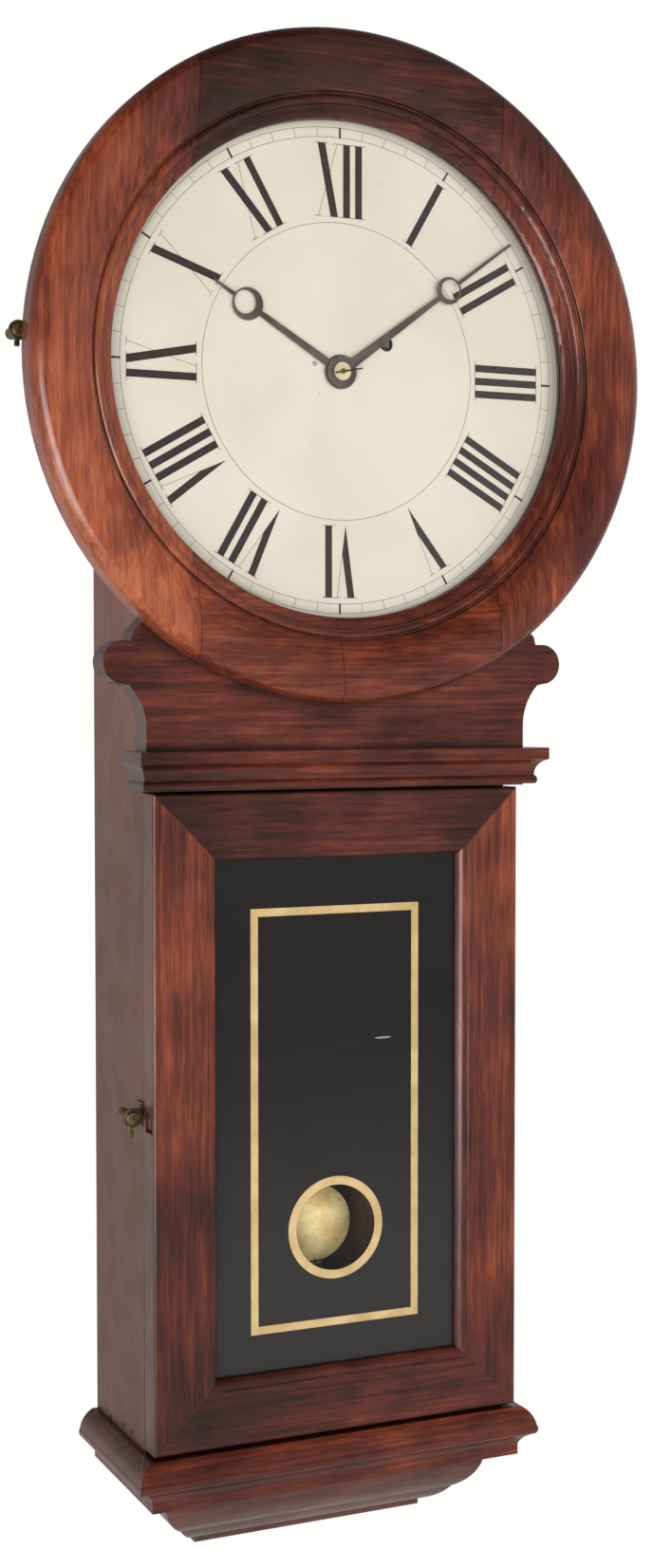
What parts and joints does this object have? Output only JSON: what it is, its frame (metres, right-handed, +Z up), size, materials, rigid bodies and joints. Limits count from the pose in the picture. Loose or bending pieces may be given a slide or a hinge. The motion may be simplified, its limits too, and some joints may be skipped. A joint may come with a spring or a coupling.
{
  "type": "pendulum wall clock",
  "caption": "Round-head drop wall clock: hinged glazed bezel over a painted dial, wooden trunk with a black and gold glass door, spring-driven pendulum movement inside.",
  "frame": {"origin": "where the dial's axis meets the wall", "axes": "+Z up, +Y into the wall, so the dial looks along -Y; +X to the right of a person facing the clock"},
  "size_m": [0.405, 0.128, 0.9149],
  "materials": {
    "case_wood": "gloss varnish",
    "inner_wood": "plain sawn, unvarnished",
    "dial_enamel": "satin paint, printed",
    "clear_glass": "clear",
    "tablet_black": "paint behind glass",
    "gold_leaf": "gilt behind glass",
    "hand_steel": "blued and darkened",
    "bright_steel": "bright",
    "dark_steel": "darkened",
    "brass": "aged brass",
    "old_brass": "tarnished brass",
    "pale_brass": "worn bright"
  },
  "bodies": {
    "case": {"backboard": "inner_wood", "side_left": "case_wood", "side_right": "case_wood", "top_board": "inner_wood", "bottom_board": "inner_wood", "head_ring": "case_wood", "scroll_bracket": "case_wood", "cornice": "case_wood", "base_moulding": "case_wood", "drop_block": "case_wood", "drop_plate": "case_wood", "seat_blocks": "inner_wood", "hanger_plate": "dark_steel", "wood_screws": "dark_steel", "dial": "dial_enamel", "dial_screws": "dark_steel", "hinge_leaves_fixed": "old_brass", "hinge_pins": "old_brass", "catch_brackets": "old_brass", "front_plate": "brass", "back_plate": "brass", "plate_pillars": "brass", "click_spring": "bright_steel", "suspension_cock": "brass"},
    "bezel": {"bezel_ring": "case_wood", "bezel_glass": "clear_glass", "glass_bead": "inner_wood", "bezel_hinge_leaf": "old_brass", "bezel_keeper": "old_brass"},
    "door": {"door_stile_left": "case_wood", "door_stile_right": "case_wood", "door_rail_top": "case_wood", "door_rail_bottom": "case_wood", "tablet_glass": "clear_glass", "tablet_paint": "tablet_black", "gold_lines": "gold_leaf", "glass_strips": "inner_wood", "door_hinge_leaves": "old_brass"},
    "bezel_catch": {"bezel_catch_knob": "old_brass"},
    "door_catch": {"door_catch_knob": "old_brass"},
    "centre": {"centre_wheel": "brass", "cannon_pinion": "brass", "minute_hand": "hand_steel", "hand_collet": "pale_brass", "taper_pin": "dark_steel"},
    "hour": {"hour_wheel": "brass", "hour_hand": "hand_steel"},
    "minute_work": {"minute_wheel": "brass"},
    "third": {"third_wheel": "brass"},
    "escape": {"escape_wheel": "brass"},
    "barrel": {"barrel": "brass", "mainspring": "bright_steel"},
    "winding": {"winding_arbor": "bright_steel", "ratchet_wheel": "bright_steel"},
    "click": {"click": "bright_steel"},
    "pendulum": {"suspension_spring": "bright_steel", "pendulum_rod": "dark_steel", "bob": "brass", "rating_nut": "brass"},
    "verge": {"verge": "bright_steel"}
  },
  "joints": [
    {"name": "bezel_hinge", "type": "hinge", "parent": "case", "child": "bezel", "pos_m": [0.1986, -0.10775, 0], "axis": [0, 0, 1], "range_deg": [0, 110]},
    {"name": "door_hinge", "type": "hinge", "parent": "case", "child": "door", "pos_m": [0.1236, -0.0895, -0.446], "axis": [0, 0, 1], "range_deg": [0, 110]},
    {"name": "bezel_catch_turn", "type": "hinge", "parent": "case", "child": "bezel_catch", "pos_m": [-0.19835, -0.1, 0.0115], "axis": [0, -1, 0], "range_deg": [0, 90]},
    {"name": "door_catch_turn", "type": "hinge", "parent": "case", "child": "door_catch", "pos_m": [-0.1305, -0.092, -0.4408], "axis": [0, -1, 0], "range_deg": [0, 90]},
    {"name": "minute_turn", "type": "hinge", "parent": "case", "child": "centre", "pos_m": [0, -0.09, 0], "axis": [0, 1, 0], "continuous": true},
    {"name": "hour_turn", "type": "hinge", "parent": "case", "child": "hour", "pos_m": [0, -0.09, 0], "axis": [0, 1, 0], "continuous": true},
    {"name": "minute_work_turn", "type": "hinge", "parent": "case", "child": "minute_work", "pos_m": [0, -0.09, -0.012], "axis": [0, 1, 0], "continuous": true},
    {"name": "third_turn", "type": "hinge", "parent": "case", "child": "third", "pos_m": [-0.01861, -0.09, 0.01173], "axis": [0, 1, 0], "continuous": true},
    {"name": "escape_turn", "type": "hinge", "parent": "case", "child": "escape", "pos_m": [-0.005, -0.09, 0.0235], "axis": [0, 1, 0], "continuous": true},
    {"name": "barrel_turn", "type": "hinge", "parent": "case", "child": "barrel", "pos_m": [0.03098, -0.09, 0.01869], "axis": [0, 1, 0], "continuous": true},
    {"name": "winding", "type": "hinge", "parent": "case", "child": "winding", "pos_m": [0.03098, -0.09, 0.01869], "axis": [0, 1, 0], "range_deg": [0, 2160]},
    {"name": "click_drop", "type": "hinge", "parent": "case", "child": "click", "pos_m": [0.046, -0.098, 0.031], "axis": [0, -1, 0], "range_deg": [0, 4.5]},
    {"name": "pendulum_swing", "type": "hinge", "parent": "case", "child": "pendulum", "pos_m": [0, -0.066, 0.044], "axis": [0, 1, 0], "range_deg": [-3.5, 3.5]},
    {"name": "verge_rock", "type": "hinge", "parent": "case", "child": "verge", "pos_m": [0, -0.08, 0.044], "axis": [0, 1, 0], "range_deg": [-3.5, 3.5]}
  ],
  "couplings": [
    {"joint": "hour_turn", "follows": "minute_turn", "ratio": 0.083333},
    {"joint": "minute_work_turn", "follows": "minute_turn", "ratio": -0.33333},
    {"joint": "third_turn", "follows": "minute_turn", "ratio": -10},
    {"joint": "escape_turn", "follows": "minute_turn", "ratio": 80},
    {"joint": "barrel_turn", "follows": "minute_turn", "ratio": -0.125},
    {"joint": "verge_rock", "follows": "pendulum_swing", "ratio": 1}
  ]
}
